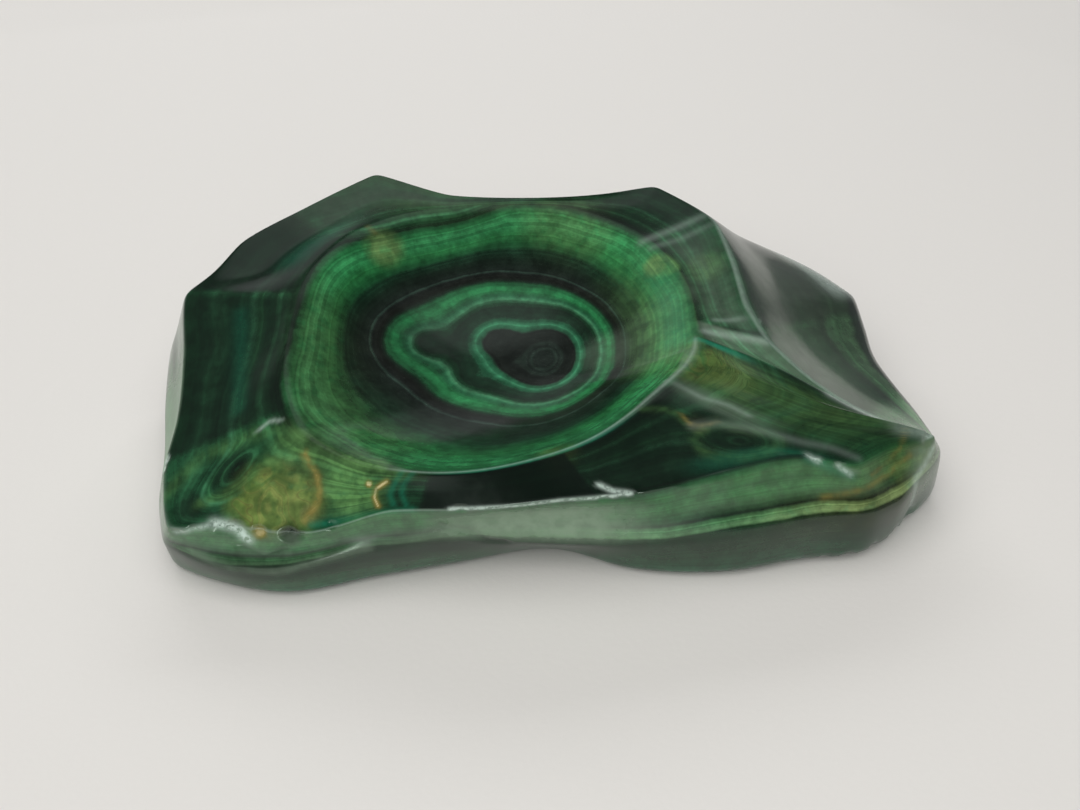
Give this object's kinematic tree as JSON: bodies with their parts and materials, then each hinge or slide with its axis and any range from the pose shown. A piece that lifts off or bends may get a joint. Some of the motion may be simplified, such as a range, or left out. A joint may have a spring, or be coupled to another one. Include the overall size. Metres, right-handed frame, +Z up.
{
  "type": "malachite specimen",
  "caption": "Polished freeform of banded green malachite, ground to uneven facets all round, with a wide round dish hollowed into its top and a flat ground underside.",
  "frame": {"origin": "middle of the part's box, in plan, at the height of the flat underside", "axes": "+X along the stone to its pointed end, +Y to its back, +Z up out of the dish"},
  "size_m": [0.1576, 0.098, 0.036],
  "materials": {
    "malachite": "polished to a gloss, banded in greens from near black to bright green, with ochre veins"
  },
  "bodies": {
    "root": {"stone": "malachite"}
  },
  "joints": []
}
